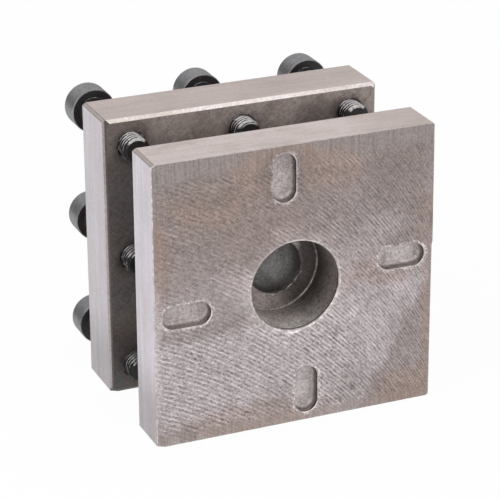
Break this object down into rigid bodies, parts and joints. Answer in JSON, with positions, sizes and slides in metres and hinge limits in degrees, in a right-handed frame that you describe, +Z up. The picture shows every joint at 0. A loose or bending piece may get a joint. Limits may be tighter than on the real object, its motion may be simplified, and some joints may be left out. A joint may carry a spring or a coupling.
{
  "type": "square tool post",
  "caption": "Square, spool-shaped tool post for a small lathe, cut from one steel block, with cap screws that clamp tool shanks in the slots round its core.",
  "frame": {"origin": "centre of the spigot recess in the seating face", "axes": "+Y along the bore, from the seating face to the screw heads; +Z up as the post lies on its side; +X to the right of someone who looks at the seating face"},
  "size_m": [0.065, 0.0593, 0.065],
  "materials": {
    "machined_steel": "ground sides, fly-cut faces with light oil stains",
    "black_oxide_steel": "black oxide, satin"
  },
  "bodies": {
    "post": {"tool_post_body": "machined_steel"},
    "screw_top_left": {"clamp_screw_top_left": "black_oxide_steel"},
    "screw_top_mid": {"clamp_screw_top_mid": "black_oxide_steel"},
    "screw_top_right": {"clamp_screw_top_right": "black_oxide_steel"},
    "screw_left_mid": {"clamp_screw_left_mid": "black_oxide_steel"},
    "screw_right_mid": {"clamp_screw_right_mid": "black_oxide_steel"},
    "screw_bottom_left": {"clamp_screw_bottom_left": "black_oxide_steel"},
    "screw_bottom_mid": {"clamp_screw_bottom_mid": "black_oxide_steel"},
    "screw_bottom_right": {"clamp_screw_bottom_right": "black_oxide_steel"}
  },
  "joints": [
    {"name": "top_left_screw_travel", "type": "slide", "parent": "post", "child": "screw_top_left", "axis": [0, -1, 0], "range_m": [-0.004, 0.01025]},
    {"name": "top_mid_screw_travel", "type": "slide", "parent": "post", "child": "screw_top_mid", "axis": [0, -1, 0], "range_m": [-0.004, 0.01025]},
    {"name": "top_right_screw_travel", "type": "slide", "parent": "post", "child": "screw_top_right", "axis": [0, -1, 0], "range_m": [-0.0039, 0.01035]},
    {"name": "left_mid_screw_travel", "type": "slide", "parent": "post", "child": "screw_left_mid", "axis": [0, -1, 0], "range_m": [-0.004, 0.01025]},
    {"name": "right_mid_screw_travel", "type": "slide", "parent": "post", "child": "screw_right_mid", "axis": [0, -1, 0], "range_m": [-0.0041, 0.01015]},
    {"name": "bottom_left_screw_travel", "type": "slide", "parent": "post", "child": "screw_bottom_left", "axis": [0, -1, 0], "range_m": [-0.0038, 0.01045]},
    {"name": "bottom_mid_screw_travel", "type": "slide", "parent": "post", "child": "screw_bottom_mid", "axis": [0, -1, 0], "range_m": [-0.0037, 0.01055]},
    {"name": "bottom_right_screw_travel", "type": "slide", "parent": "post", "child": "screw_bottom_right", "axis": [0, -1, 0], "range_m": [-0.0042, 0.01005]}
  ]
}
